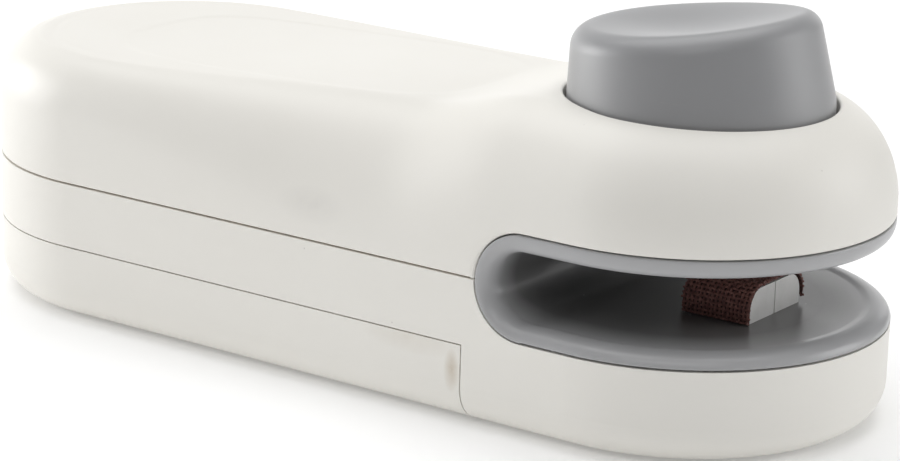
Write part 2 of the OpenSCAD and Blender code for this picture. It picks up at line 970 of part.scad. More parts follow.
module terminal_screws() {
    color(steel)
    for (side = [-1, 1])
        translate([heater_x, side * terminal_y, terminal_z + terminal_t + screw_seat_gap])
            mirror([0, 0, 1])
                screw(-screw_head_t, 0.9, screw_r - 0.3, terminal_head_r);
}

// ---------- cells and contacts ----------

module battery_tray() {
    color([0.2, 0.2, 0.21])
    difference() {
        union() {
            intersection() {
                slab(wall + 0.9, tray_low_z, tray_roof_z + tray_wall);
                span([tray_rear_x - tray_wall, -tray_out_y, tray_low_z],
                     [tray_front_x + tray_wall, tray_out_y, tray_roof_z + tray_wall]);
            }
            // Rails that carry the battery door's hooks
            span([rail_x[0], -rail_out_y, rail_z], [rail_x[1], rail_out_y, rail_z + rail_t]);
        }
        span([tray_rear_x - 0.05, -tray_in_y, tray_low_z - 1],
             [tray_front_x + 0.05, tray_in_y, tray_roof_z]);
        for (x = tray_screw_x)
            translate([x, 0, tray_roof_z - 1])
                cylinder(r = way_r, h = 4);
        // Slots for the two front contact tabs
        for (side = [-1, 1])
            translate([tray_front_x + 0.6, side * cell_y, 13.6])
                cube([3, 2.2, 0.9], center = true);
    }
}

module tray_screws() {
    color(steel)
    for (x = tray_screw_x)
        translate([x, 0, 0])
            screw(tray_roof_z - screw_head_t - screw_seat_gap, tray_screw_l, thread_r);
}

// AA cell along +X from its flat pole, which is at the origin
module cell() {
    rotate([0, 90, 0]) {
        cylinder(r = cell_r, h = cell_can_l, $fn = 96);
        translate([0, 0, cell_can_l - eps])
            cylinder(r = 2.7, h = cell_pole_l + eps);
    }
}

module left_cell() {
    color([0.16, 0.3, 0.24])
    translate([left_cell_x, cell_y, cell_z])
        cell();
}

module right_cell() {
    color([0.16, 0.3, 0.24])
    translate([right_cell_x + cell_can_l, -cell_y, cell_z])
        mirror([1, 0, 0])
            cell();
}

// Spring steel plate across one cell's end, its outer face at height 0 of +X
module pole_plate(y0, y1) {
    span([0, y0, cell_z - 5.5], [contact_t, y1, cell_z + 5.5]);
}

// Coil that presses on a cell's flat pole
module pole_coil(length) {
    rotate([0, 90, 0])
        coil(3.6, 0.35, length, 3);
}

module link_contact() {
    color(steel)
    union() {
        translate([tray_rear_x, 0, 0])
            pole_plate(-12.5, 12.5);
        translate([tray_rear_x + contact_t - 0.1, cell_y, cell_z])
            pole_coil(left_cell_x - tray_rear_x - contact_t);
    }
}

module front_plate(y0, y1) {
    translate([tray_front_x - contact_t, 0, 0])
        pole_plate(y0, y1);
    span([tray_front_x - contact_t, (y0 + y1) / 2 - 0.8, 13.4],
         [tray_front_x + tray_wall + 1.4, (y0 + y1) / 2 + 0.8, 13.8]);
}

module positive_contact() {
    color(steel)
        front_plate(cell_y - 5, cell_y + 5);
}

module negative_contact() {
    length = tray_front_x - contact_t - right_cell_x - cell_can_l;
    color(steel)
    union() {
        front_plate(-cell_y - 5, -cell_y + 5);
        translate([tray_front_x - contact_t + 0.1, -cell_y, cell_z])
            mirror([1, 0, 0])
                pole_coil(length);
    }
}

// ---------- wiring ----------

// From the cells to the switch
module battery_lead() {
    color([0.7, 0.1, 0.1])
    lead([
        [lead_start_x, cell_y, lead_start_z],
        [lead_start_x + 0.4, cell_y, 19],
        [18.6, cell_y, upper_run_z],
        [26, switch_y, upper_run_z],
        [pin_x[0], switch_y, upper_run_z],
        [pin_x[0], switch_y, plate_top_z + 0.7]
    ]);
}

// From the switch down behind the slot to one heater terminal
module switched_lead() {
    color([0.75, 0.72, 0.1])
    lead([
        [pin_x[1], switch_y, plate_top_z + 0.7],
        [pin_x[1], switch_y, upper_run_z],
        [switch_x - 0.3, lead_run_y - 0.8, upper_run_z],
        [behind_slot_x + 1.2, lead_run_y, upper_run_z],
        [behind_slot_x, lead_run_y, upper_run_z - 2.4],
        [behind_slot_x, lead_run_y, lower_run_z + 2.6],
        [behind_slot_x + 2.8, lead_run_y, lower_run_z],
        [heater_x - 1.5, lead_run_y, lower_run_z],
        [heater_x, lead_run_y, lower_run_z + 0.15]
    ]);
}

// From the other heater terminal back to the cells
module return_lead() {
    color([0.12, 0.12, 0.12])
    lead([
        [heater_x, -lead_run_y, lower_run_z + 0.15],
        [heater_x - 1.5, -lead_run_y, lower_run_z],
        [behind_slot_x + 2.8, -lead_run_y, lower_run_z],
        [behind_slot_x - 0.8, -cell_y - 1.2, lower_run_z + 3.1],
        [lead_start_x + 0.3, -cell_y, lead_start_z - 1.75]
    ]);
}

module shell_screws() {
    color(steel)
    union() {
        for (side = [-1, 1])
            translate([front_screw_x, side * front_screw_y, 0])
                screw(front_seat_z - screw_head_t - screw_seat_gap, shell_screw_l[0], thread_r);
        translate([rear_screw_x, 0, 0])
            screw(rear_seat_z - screw_head_t - screw_seat_gap, shell_screw_l[1], thread_r);
    }
}

upper_shell();
lower_shell();
battery_door();
jaw_liner();
press_button();
plunger();
press_pad();
stem_screw();
return_spring();
guide_plate();
guide_screws();
switch_base();
switch_leaf();
switch_contact();
heater_block();
heater_ribbon();
heat_tape();
heater_terminals();
terminal_screws();
battery_tray();
tray_screws();
left_cell();
right_cell();
link_contact();
positive_contact();
negative_contact();
battery_lead();
switched_lead();
return_lead();
shell_screws();
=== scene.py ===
"""Looks of the handheld bag heat sealer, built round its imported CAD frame.

Lengths are in millimetres until a mesh is made; new_piece() turns them into metres.
"""
import math
import random

import bpy
import bmesh
from mathutils import Matrix, Vector


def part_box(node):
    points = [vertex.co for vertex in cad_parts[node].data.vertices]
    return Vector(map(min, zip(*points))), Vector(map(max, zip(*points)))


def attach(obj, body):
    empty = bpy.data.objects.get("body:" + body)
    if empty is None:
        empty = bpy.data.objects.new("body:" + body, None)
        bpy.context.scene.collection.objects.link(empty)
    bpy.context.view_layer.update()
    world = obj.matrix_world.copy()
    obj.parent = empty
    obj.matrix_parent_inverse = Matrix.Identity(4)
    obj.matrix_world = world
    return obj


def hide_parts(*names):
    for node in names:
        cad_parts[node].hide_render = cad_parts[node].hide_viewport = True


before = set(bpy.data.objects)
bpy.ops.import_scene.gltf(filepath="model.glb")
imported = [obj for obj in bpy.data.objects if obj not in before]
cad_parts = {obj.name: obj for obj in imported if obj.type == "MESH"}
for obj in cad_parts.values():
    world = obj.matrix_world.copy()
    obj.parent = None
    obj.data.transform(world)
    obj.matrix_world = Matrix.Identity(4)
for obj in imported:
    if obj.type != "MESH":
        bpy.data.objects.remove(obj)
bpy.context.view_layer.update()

MM = 0.001


def node_box(name):
    """Lowest and highest corner of a CAD node, in millimetres."""
    low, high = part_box(name)
    return low / MM, high / MM


# ---------------------------------------------------------------- dimensions from the frame

_, door_high = node_box("battery_door")
_, lower_high = node_box("lower_shell")
upper_low, upper_high = node_box("upper_shell")
button_low, button_high = node_box("press_button")
block_low, block_high = node_box("heater_block")

END_R = lower_high.y
END_X = lower_high.x - END_R
SEAM_LOW_Z = lower_high.z
SEAM_HIGH_Z = upper_low.z
TOP_Z = upper_high.z
DOOR_Z = door_high.z
BUTTON_X = (button_low.x + button_high.x) / 2
BLOCK_X = (block_low.x + block_high.x) / 2

# Shape of the housing
WALL = 1.8
EDGE_R = 0.28
EDGE_TURNS = (0, 22, 45, 68, 90)
SEAM_GAP = 0.14
DOOR_FRONT_X = 19.63
NEAR_SIDE = (0.0, -1.0)

# Lapped edges behind the open lines: insets of their faces and their end clearance
TONGUE_INSETS = (0.45, 1.4)
TONGUE_CLEAR = 0.01

# The upper shell's shoulder at the rear, the middle and the nose
BLEND_REAR_X = -END_X
BLEND_MID_X = 10.0
BLEND_NOSE_X = 37.0
SHOULDER_W = (4.8, 9.7, 8.2)
SHOULDER_H = (6.0, 13.4, 9.9)
CROWN_Z = (TOP_Z - 3.6, TOP_Z - 2.6, TOP_Z)
CROWN_RISE_X = (8.0, 22.0)
STATION_INSET = 5.0
TOP_STEPS = 110
ROOF_STEPS = 18
LEAST_CLIMB = 0.02
LEAST_STEP = 0.004
SAME_PLACE = 0.003
END_CLEAR = 0.01
FOOT_ROWS = 3

# The jaw slot
SLOT_X = 26.4
LINER_LOW_Z = 9.65
LINER_HIGH_Z = 20.55
FLOOR_Z = 11.1
CEILING_Z = 18.6
LIP_FLOOR = (1.2, 1.9, 0.16)
LIP_END = (1.35, 2.4, 0.0)
LIP_CEILING = (1.5, 1.0, 0.0)
LIP_FALL = 1.0
LIP_FOOT = 0.15
LIP_FOOT_BEVEL = 0.04
LINER_FLOOR_GAP = SEAM_GAP + 0.07

SLOT_MID_Z = (LINER_LOW_Z + LINER_HIGH_Z) / 2
SLOT_R = (LINER_HIGH_Z - LINER_LOW_Z) / 2
MOUTH_MID_Z = (FLOOR_Z + CEILING_Z) / 2
MOUTH_R = (CEILING_Z - FLOOR_Z) / 2

# Openings of the lining over and under the block: half length and half width
PAD_WINDOW = (4.25, 6.0)
PAD_WINDOW_Z = CEILING_Z - 0.8
SCREW_WINDOW = (3.0, 3.7)
RIBBON_SLIT = (1.5, 0.3)
RIBBON_SLIT_Y = 4.7
CUT_PAST = 1.0

# The block and its tape
BLOCK_TOP_Z = FLOOR_Z + 3.3
BLOCK_SHOULDER_R = 2.0
TAPE_MIDDLE = 0.42
TAPE_NEAR_Z = FLOOR_Z + 0.05
TAPE_FAR_Z = FLOOR_Z + 0.7
FILM_OFFSETS = (0.25, 0.36)
FILM_FAR_Z = FLOOR_Z + 0.75
FILM_STEP = 0.3
FILM_MARGIN = 0.2
THREAD_COUNT = 17
THREAD_PITCH = 0.45
THREAD_WAVE = 0.09
THREAD_R = 0.125
THREAD_OVERHANG = 0.16
LONG_STEP = 0.11
CROSS_STEP = 0.03
SWAY_RATE = 0.9
ROW_SHIFT = 0.35

# The button
HOLE_R = 13.45
HOLE_OUT_R = HOLE_R + EDGE_R
BUTTON_R = 13.12
BUTTON_DRAFT = 0.14
BUTTON_LEAN = 0.12
BUTTON_TOP_Z = 38.9
BUTTON_SLOPE = 0.1216
BUTTON_BEND = 0.4
BUTTON_BEND_R = 12
BUTTON_EDGE_REAR = 2.1
BUTTON_EDGE_NOSE = 1.8
EDGE_TENSION = 0.8
BUTTON_DISH = 0.9
BUTTON_DISH_R = 11.0
BUTTON_SIDE_Z = 29.0
BUTTON_COLUMNS = 160
FLANGE = ((10.5, 27.6), (14.2, 27.6), (14.3, 27.7), (14.3, 28.4), (14.2, 28.5), (BUTTON_R, 28.5))
BUTTON_HOLLOW = ((0.0, 35.2), (9.6, 35.2), (10.1, 34.9), (10.3, 34.4))

# Moulded posts: x, y, lowest z, highest z and radius
POST_SIDES = 32
POST_BEVEL = 0.2
UPPER_POSTS = (
    (17.9, -14.5, SEAM_HIGH_Z, 27.8, 2.4),
    (17.9, 14.5, SEAM_HIGH_Z, 27.8, 2.4),
    (-46.6, 0, SEAM_HIGH_Z, 27.4, 2.4),
    (15.4, -6, 24.65, 29.2, 2.1),
    (15.4, 6, 24.65, 29.2, 2.1),
    (-30, 0, 18.25, 27.3, 2.4),
    (2, 0, 18.25, 28.2, 2.4),
)
# The button's own posts: the stem's, the spring's peg and the switch finger
BUTTON_POSTS = (
    (38.85, 0, 33, 35.4, 3.9),
    (28.6, 0, 31.5, 35.4, 2.1),
    (31, 6.1, 28.5, 35.4, 1.0),
)

# Marks on the top
OVAL_X = -13.6
OVAL_HALF_L = 22.9
OVAL_HALF_W = 11.9
OVAL_DEPTH = 0.07
OVAL_EDGE = 0.6
OVAL_POWER = 3.5
ARC_X = -32.2
ARC_RADII = (14.5, 16.5, 18.5)
ARC_DEPTH = 0.03
ARC_WIDTH = 0.35
ARC_FADE_START = 4
ARC_FADE_RUN = 9

# Camera, in degrees and millimetres
CAMERA_AZIMUTH = 35.39
CAMERA_ELEVATION = 16.13
CAMERA_ROLL = 1.5
CAMERA_DISTANCE = 328.2
CAMERA_TARGET = (3.45, 0, 12.12)
CAMERA_LENS = 126.0

# Studio lamps: name, place, aim, width and height, power
LAMPS = (
    ("top_box", (-60, 60, 500), (0, 0, 10), (600, 600), 2.44),
    ("back_low", (-290, 410, 110), (0, 0, 20), (700, 200), 0.49),
    ("left_low", (-420, -100, 90), (0, 0, 15), (250, 160), 0.98),
    ("right_box", (380, 270, 150), (20, 0, 20), (250, 250), 0.6),
    ("front_box", (200, -350, 380), (0, 0, 10), (400, 200), 0.52),
)
WORLD_STRENGTH = 0.09
TABLE_GLOW = 0.14
TABLE_SIZE = 6
TABLE_Z = -0.0002

# Width of the rounding on the edges of some CAD nodes
EDGE_WIDTHS = {"lower_shell": 0.1, "battery_door": 0.06, "heater_block": 0.1, "press_pad": 0.25}


def ease(t):
    c = max(0.0, min(1.0, t))
    return c * c * (3 - 2 * c)


def along(x, values):
    """A value at place x, from its values at the rear, the middle and the nose."""
    to_mid = ease((x - BLEND_REAR_X) / (BLEND_MID_X - BLEND_REAR_X))
    to_nose = ease((x - BLEND_MID_X) / (BLEND_NOSE_X - BLEND_MID_X))
    rear, middle, nose = values
    return rear * (1 - to_mid) + middle * to_mid * (1 - to_nose) + nose * to_mid * to_nose


def crown(x):
    """Height of the middle of the top, which rises to the nose just behind the button."""
    rear, middle, nose = CROWN_Z
    low = rear + (middle - rear) * ease((x - BLEND_REAR_X) / (BLEND_MID_X - BLEND_REAR_X))
    start, stop = CROWN_RISE_X
    return low + (nose - low) * ease((x - start) / (stop - start))


# ---------------------------------------------------------------- mesh helpers


def new_piece(name, points, faces, body, material, replaces=()):
    """A mesh from points in millimetres, riding on a body in place of some CAD nodes."""
    mesh = bpy.data.meshes.new(name)
    mesh.from_pydata([Vector(p) * MM for p in points], [], faces)
    clean = bmesh.new()
    clean.from_mesh(mesh)
    bmesh.ops.remove_doubles(clean, verts=clean.verts, dist=1e-6)
    bmesh.ops.dissolve_degenerate(clean, edges=clean.edges, dist=1e-7)
    bmesh.ops.recalc_face_normals(clean, faces=clean.faces)
    clean.to_mesh(mesh)
    clean.free()
    set_smooth(mesh)
    piece = add_to_scene(name, mesh)
    piece.data.materials.append(material)
    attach(piece, body)
    if replaces:
        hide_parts(*replaces)
    return piece


def sharpen(piece, degrees=35):
    """Smooth shading with crisp edges above an angle."""
    limit = math.radians(degrees)
    mesh = bmesh.new()
    mesh.from_mesh(piece.data)
    for edge in mesh.edges:
        if len(edge.link_faces) == 2 and edge.calc_face_angle(0) > limit:
            edge.smooth = False
    mesh.to_mesh(piece.data)
    mesh.free()
    return piece


def bevel(piece, width, segments=3, degrees=30):
    """Rounds the sharp edges of a piece; width is in millimetres."""
    modifier = piece.modifiers.new("edges", "BEVEL")
    modifier.width = width * MM
    modifier.segments = segments
    modifier.limit_method = "ANGLE"
    modifier.angle_limit = math.radians(degrees)
    modifier.harden_normals = True
    return piece


def grid_faces(rows, columns, close_rows=False, close_columns=False):
    """Quads over a grid of points stored row by row."""
    faces = []
    for r in range(rows if close_rows else rows - 1):
        for c in range(columns if close_columns else columns - 1):
            r2 = (r + 1) % rows
            c2 = (c + 1) % columns
            faces.append((r * columns + c, r * columns + c2, r2 * columns + c2, r2 * columns + c))
    return faces


def spaced(start, stop, count):
    """count + 1 evenly spaced values from start to stop."""
    return [start + (stop - start) * i / count for i in range(count + 1)]


def set_smooth(mesh):
    for polygon in mesh.polygons:
        polygon.use_smooth = True


def add_to_scene(name, data):
    """A new object in the scene."""
    made = bpy.data.objects.new(name, data)
    bpy.context.scene.collection.objects.link(made)
    return made


# ---------------------------------------------------------------- materials


class Shader:
    """A short way to write a node-based material."""

    def __init__(self, name):
        self.material = bpy.data.materials.new(name)
        self.material.use_nodes = True
        self.nodes = self.material.node_tree.nodes
        self.links = self.material.node_tree.links
        self.surface = self.nodes["Principled BSDF"]
        coordinates = self.nodes.new("ShaderNodeTexCoord")
        self.place = coordinates.outputs["Object"]

    def put(self, socket, value):
        """Links a socket to another one or sets its value."""
        if hasattr(value, "is_linked"):
            self.links.new(value, socket)
        else:
            socket.default_value = value

    def noise(self, scale, detail=4.0, roughness=0.55, stretch=None):
        """Noise whose scale is its features per metre."""
        node = self.nodes.new("ShaderNodeTexNoise")
        node.inputs["Scale"].default_value = scale
        node.inputs["Detail"].default_value = detail
        node.inputs["Roughness"].default_value = roughness
        place = self.place
        if stretch:
            mapping = self.nodes.new("ShaderNodeMapping")
            mapping.inputs["Scale"].default_value = stretch
            self.links.new(self.place, mapping.inputs["Vector"])
            place = mapping.outputs["Vector"]
        self.links.new(place, node.inputs["Vector"])
        return node.outputs["Fac"]

    def cells(self, scale):
        """Distance from the middle of the nearest of many scattered cells."""
        node = self.nodes.new("ShaderNodeTexVoronoi")
        node.inputs["Scale"].default_value = scale
        self.links.new(self.place, node.inputs["Vector"])
        return node.outputs["Distance"]

    def ramp(self, value, stops):
        """Colour or grey ramp; stops are (position, (r, g, b))."""
        node = self.nodes.new("ShaderNodeValToRGB")
        points = node.color_ramp.elements
        while len(points) < len(stops):
            points.new(0.5)
        for point, (position, colour) in zip(points, stops):
            point.position = position
            point.color = (*colour, 1.0)
        self.links.new(value, node.inputs["Fac"])
        return node.outputs["Color"]

    def grey_ramp(self, value, low, high, dark=0.0, light=1.0):
        return self.ramp(value, [(low, (dark,) * 3), (high, (light,) * 3)])

    def blend_of(self, value, dark, light, high=0.7):
        """Colour between two tones, following a noise."""
        return self.ramp(value, [(0.3, dark), (high, light)])

    def gloss(self, scale, detail, low, high):
        """Roughness that drifts between two values."""
        return self.grey_ramp(self.noise(scale, detail), 0.3, 0.7, low, high)

    def math(self, operation, a, b=0.5):
        node = self.nodes.new("ShaderNodeMath")
        node.operation = operation
        self.put(node.inputs[0], a)
        self.put(node.inputs[1], b)
        return node.outputs[0]

    def wear_and_shade(self, colour, mask, amount, tone):
        """A tone laid over a colour where a mask is light; used for wear, stains and painted shade.
        """
        node = self.nodes.new("ShaderNodeMix")
        node.data_type = "RGBA"
        self.put(node.inputs[0], self.math("MULTIPLY", mask, amount))
        self.put(node.inputs[6], colour)
        self.put(node.inputs[7], (*tone, 1.0))
        return node.outputs[2]

    def specks(self, scale, low, high, rare_scale, rare_low, rare_high):
        """Small round specks that come in loose groups."""
        dots = self.grey_ramp(self.cells(scale), low, high, 1.0, 0.0)
        rare = self.grey_ramp(self.noise(rare_scale, 2), rare_low, rare_high)
        return self.math("MULTIPLY", dots, rare)

    def bump(self, height, distance, strength=1.0, under=None):
        node = self.nodes.new("ShaderNodeBump")
        node.inputs["Strength"].default_value = strength
        node.inputs["Distance"].default_value = distance * MM
        self.links.new(height, node.inputs["Height"])
        if under is not None:
            self.links.new(under, node.inputs["Normal"])
        return node.outputs["Normal"]

    def spot(self, centre, radii):
        """1 at a place in millimetres, falling to 0 at the radii round it."""
        mapping = self.nodes.new("ShaderNodeMapping")
        mapping.inputs["Location"].default_value = [-c / r for c, r in zip(centre, radii)]
        mapping.inputs["Scale"].default_value = [1 / (r * MM) for r in radii]
        self.links.new(self.place, mapping.inputs["Vector"])
        gradient = self.nodes.new("ShaderNodeTexGradient")
        gradient.gradient_type = "SPHERICAL"
        self.links.new(mapping.outputs["Vector"], gradient.inputs["Vector"])
        return gradient.outputs["Fac"]

    def split(self):
        """The place's X, Y and Z, in metres."""
        node = self.nodes.new("ShaderNodeSeparateXYZ")
        self.links.new(self.place, node.inputs["Vector"])
        return node.outputs

    def reach(self):
        """Distance from the housing's middle line, in metres."""
        x, y, _ = self.split()
        past = self.math("MAXIMUM", self.math("SUBTRACT", x, END_X * MM), 0.0)
        squares = [self.math("MULTIPLY", side, side) for side in (past, y)]
        return self.math("SQRT", self.math("ADD", *squares))

    def height(self):
        return self.split()["Z"]

    def finish(self, colour, roughness, normal=None, specular=0.5, **extra):
        """Sets the surface; extra holds other inputs with _ for a blank."""
        self.put(self.surface.inputs["Base Color"], colour)
        self.put(self.surface.inputs["Roughness"], roughness)
        self.surface.inputs["Specular IOR Level"].default_value = specular
        for label, value in extra.items():
            self.surface.inputs[label.replace("_", " ").title()].default_value = value
        if normal is not None:
            self.links.new(normal, self.surface.inputs["Normal"])
        return self.material


def shell_plastic(name, stains=()):
    """Off-white ABS with a fine spark-eroded grain, faint yellowing and rubbed marks."""
    s = Shader(name)
    colour = s.blend_of(s.noise(28, 3), (0.855, 0.834, 0.782), (0.88, 0.862, 0.812))
    rubs = s.grey_ramp(s.noise(420, 6, 0.7, (1, 3, 3)), 0.66, 0.8)
    colour = s.wear_and_shade(colour, rubs, 0.10, (0.6, 0.58, 0.55))
    for centre, radii, tone, depth in stains:
        mottle = s.grey_ramp(s.noise(500, 4), 0.2, 0.6, 0.4, 1.0)
        colour = s.wear_and_shade(colour, s.math("MULTIPLY", s.spot(centre, radii), mottle), depth, tone)
    colour = s.wear_and_shade(colour, s.specks(260, 0.018, 0.03, 60, 0.55, 0.57), 0.35, (0.35, 0.32, 0.3))
    grain = s.bump(s.noise(9000, 3, 0.6), 0.012, 0.35)
    waves = s.bump(s.noise(70, 2), 0.05, 0.12, grain)
    return s.finish(colour, s.gloss(90, 4, 0.40, 0.5), waves, specular=0.45)


def button_plastic():
    """Matte grey ABS with dust specks and hairline scuffs."""
    s = Shader("button_grey")
    colour = s.blend_of(s.noise(60, 4), (0.262, 0.264, 0.272), (0.28, 0.282, 0.29))
    colour = s.wear_and_shade(colour, s.specks(420, 0.028, 0.045, 150, 0.54, 0.56), 0.5, (0.7, 0.7, 0.7))
    pits = s.grey_ramp(s.cells(230), 0.012, 0.02, 1.0, 0.0)
    colour = s.wear_and_shade(colour, pits, 0.35, (0.12, 0.12, 0.12))
    scuffs = s.grey_ramp(s.noise(300, 8, 0.75, (1, 1, 6)), 0.62, 0.75)
    colour = s.wear_and_shade(colour, scuffs, 0.08, (0.5, 0.5, 0.5))
    grain = s.bump(s.noise(7000, 3, 0.6), 0.015, 0.4)
    return s.finish(colour, s.gloss(120, 4, 0.44, 0.52), grain, specular=0.8, coat_weight=0.35,
                    coat_roughness=0.45, sheen_weight=0.35, sheen_roughness=0.4)


def liner_plastic():
    """Satin grey ABS with painted shade that darkens it deep inside the slot, with fine dust and
    hairlines.
    """
    s = Shader("liner_grey")
    tint = s.blend_of(s.noise(50, 4), (0.405, 0.407, 0.415), (0.435, 0.437, 0.445))
    # Painted shade: the colour turns near-black with distance in from the outline, less so higher up,
    # standing in for the shade deep inside the slot.
    lift = s.grey_ramp(s.math("MULTIPLY", s.height(), 40.0), 0.45, 0.53, 0.0, 0.07)
    deep = s.math("SUBTRACT", s.math("MULTIPLY", s.reach(), 40.0), lift)
    painted_shade = s.grey_ramp(deep, 0.56, 0.71, 0.75, 0.0)
    colour = s.wear_and_shade(tint, painted_shade, 1.0, (0.07, 0.068, 0.066))
    colour = s.wear_and_shade(colour, s.specks(420, 0.025, 0.04, 150, 0.54, 0.56), 0.6, (0.7, 0.7, 0.7))
    normal = s.bump(s.noise(5200, 3), 0.008, 0.3)
    roughness = s.grey_ramp(s.noise(60, 3), 0.3, 0.75, 0.3, 0.37)
    return s.finish(colour, roughness, normal, coat_weight=0.25, coat_roughness=0.2)


def moulded(name, dark, light, rough=0.45):
    """Plain moulded plastic for the pieces inside."""
    s = Shader(name)
    colour = s.blend_of(s.noise(140, 4), dark, light)
    normal = s.bump(s.noise(6000, 3), 0.015, 0.4)
    return s.finish(colour, s.gloss(250, 4, rough - 0.07, rough + 0.07), normal)


def metal(name, dark, light, rough=0.3, stretch=(1, 1, 1)):
    """Metal with drawing marks along its length and slight tarnish."""
    s = Shader(name)
    colour = s.blend_of(s.noise(260, 5, 0.65), dark, light, 0.65)
    normal = s.bump(s.noise(2600, 4, 0.6, stretch), 0.012, 0.4)
    return s.finish(colour, s.gloss(700, 4, rough - 0.08, rough + 0.12), normal, metallic=1.0)


def silicone():
    """Pale silicone rubber with a fine grain."""
    s = Shader("pad_silicone")
    colour = s.blend_of(s.noise(300, 4), (0.5, 0.47, 0.43), (0.6, 0.57, 0.53))
    normal = s.bump(s.noise(2500, 4), 0.03, 0.4)
    return s.finish(colour, s.gloss(500, 4, 0.55, 0.7), normal, specular=0.35)


def ceramic():
    """White heat-resistant moulding with patches of grime."""
    s = Shader("block_white")
    colour = s.blend_of(s.noise(500, 5), (0.8, 0.795, 0.775), (0.86, 0.855, 0.84))
    grime = s.grey_ramp(s.noise(1500, 6, 0.7), 0.6, 0.75)
    colour = s.wear_and_shade(colour, grime, 0.15, (0.35, 0.3, 0.26))
    normal = s.bump(s.noise(5000, 4), 0.02, 0.4)
    return s.finish(colour, s.gloss(800, 4, 0.4, 0.55), normal)


def thread_cloth():
    """Coated glass yarn: dark red-brown, lighter where the coating has worn."""
    s = Shader("tape_yarn")
    colour = s.ramp(s.noise(2600, 5, 0.7), [
        (0.3, (0.12, 0.06, 0.055)),
        (0.48, (0.24, 0.105, 0.09)),
        (0.62, (0.38, 0.19, 0.16)),
        (0.78, (0.66, 0.54, 0.48)),
    ])
    normal = s.bump(s.noise(14000, 3), 0.02, 0.5)
    return s.finish(colour, s.gloss(3000, 4, 0.4, 0.6), normal, specular=0.4)


def cloth_film():
    """The dark coating that fills the cloth's holes."""
    s = Shader("tape_film")
    colour = s.blend_of(s.noise(3000, 4), (0.06, 0.03, 0.026), (0.13, 0.055, 0.045))
    normal = s.bump(s.noise(6000, 3), 0.02, 0.4)
    return s.finish(colour, s.gloss(2500, 4, 0.35, 0.55), normal, specular=0.4)


def cell_sleeve():
    """Plastic sleeve of a cell, lightly scuffed."""
    s = Shader("cell_sleeve")
    colour = s.blend_of(s.noise(90, 3), (0.025, 0.1, 0.07), (0.035, 0.13, 0.09))
    scuffs = s.grey_ramp(s.noise(700, 6, 0.7, (1, 4, 4)), 0.65, 0.8)
    colour = s.wear_and_shade(colour, scuffs, 0.3, (0.35, 0.38, 0.36))
    normal = s.bump(s.noise(1200, 3), 0.01, 0.3)
    return s.finish(colour, s.gloss(400, 4, 0.22, 0.38), normal, coat_weight=0.3, coat_roughness=0.1)


def insulation(name, dark, light):
    """Soft plastic round a wire."""
    s = Shader(name)
    colour = s.blend_of(s.noise(900, 4), dark, light)
    normal = s.bump(s.noise(4000, 3), 0.01, 0.3)
    return s.finish(colour, s.gloss(1500, 3, 0.35, 0.5), normal)


def table_top():
    """Pale table that glows a little, so its far parts stay white."""
    s = Shader("table")
    colour = s.blend_of(s.noise(3, 3), (0.9, 0.9, 0.9), (0.93, 0.93, 0.93))
    s.surface.inputs["Emission Color"].default_value = (1, 1, 1, 1)
    return s.finish(colour, s.gloss(8, 3, 0.6, 0.7), specular=0.2, emission_strength=TABLE_GLOW)


STAIN = (0.4, 0.28, 0.14)
SMUDGE = (0.55, 0.53, 0.51)
UPPER_STAINS = [((1, -END_R, 18.8), (4.5, 3, 2.0), SMUDGE, 0.24)]
DOOR_STAINS = [
    ((18.7, -END_R, 5.4), (1.0, 3, 2.3), STAIN, 0.62),
    ((13.5, -END_R, 7.6), (6, 3, 1.6), STAIN, 0.16),
]

SHELL = shell_plastic("shell_white", UPPER_STAINS)
DOOR_SHELL = shell_plastic("door_white", DOOR_STAINS)
TONGUE = moulded("tongue_brown", (0.3, 0.2, 0.13), (0.4, 0.29, 0.2), 0.6)
BUTTON_GREY = button_plastic()
LINER_GREY = liner_plastic()
NYLON = moulded("nylon_natural", (0.62, 0.62, 0.6), (0.7, 0.7, 0.67))
BLACK_PLASTIC = moulded("black_moulding", (0.02, 0.02, 0.022), (0.035, 0.035, 0.037))
STEEL = metal("zinc_steel", (0.45, 0.45, 0.47), (0.68, 0.68, 0.7))
SPRING_STEEL = metal("spring_steel", (0.35, 0.35, 0.36), (0.55, 0.55, 0.57), 0.25)
CONTACT_METAL = metal("nickel_plate", (0.5, 0.5, 0.5), (0.72, 0.72, 0.72), 0.22, (6, 1, 1))
BRASS = metal("brass_strip", (0.4, 0.27, 0.1), (0.66, 0.48, 0.2), 0.3, (1, 6, 1))
RIBBON = metal("heater_alloy", (0.22, 0.2, 0.18), (0.4, 0.37, 0.34), 0.4)
SILICONE = silicone()
CERAMIC = ceramic()
YARN = thread_cloth()
FILM = cloth_film()
SLEEVE = cell_sleeve()
RED_LEAD = insulation("red_insulation", (0.35, 0.015, 0.015), (0.5, 0.03, 0.03))
YELLOW_LEAD = insulation("yellow_insulation", (0.5, 0.4, 0.03), (0.65, 0.52, 0.06))
BLACK_LEAD = insulation("black_insulation", (0.012, 0.012, 0.012), (0.03, 0.03, 0.03))

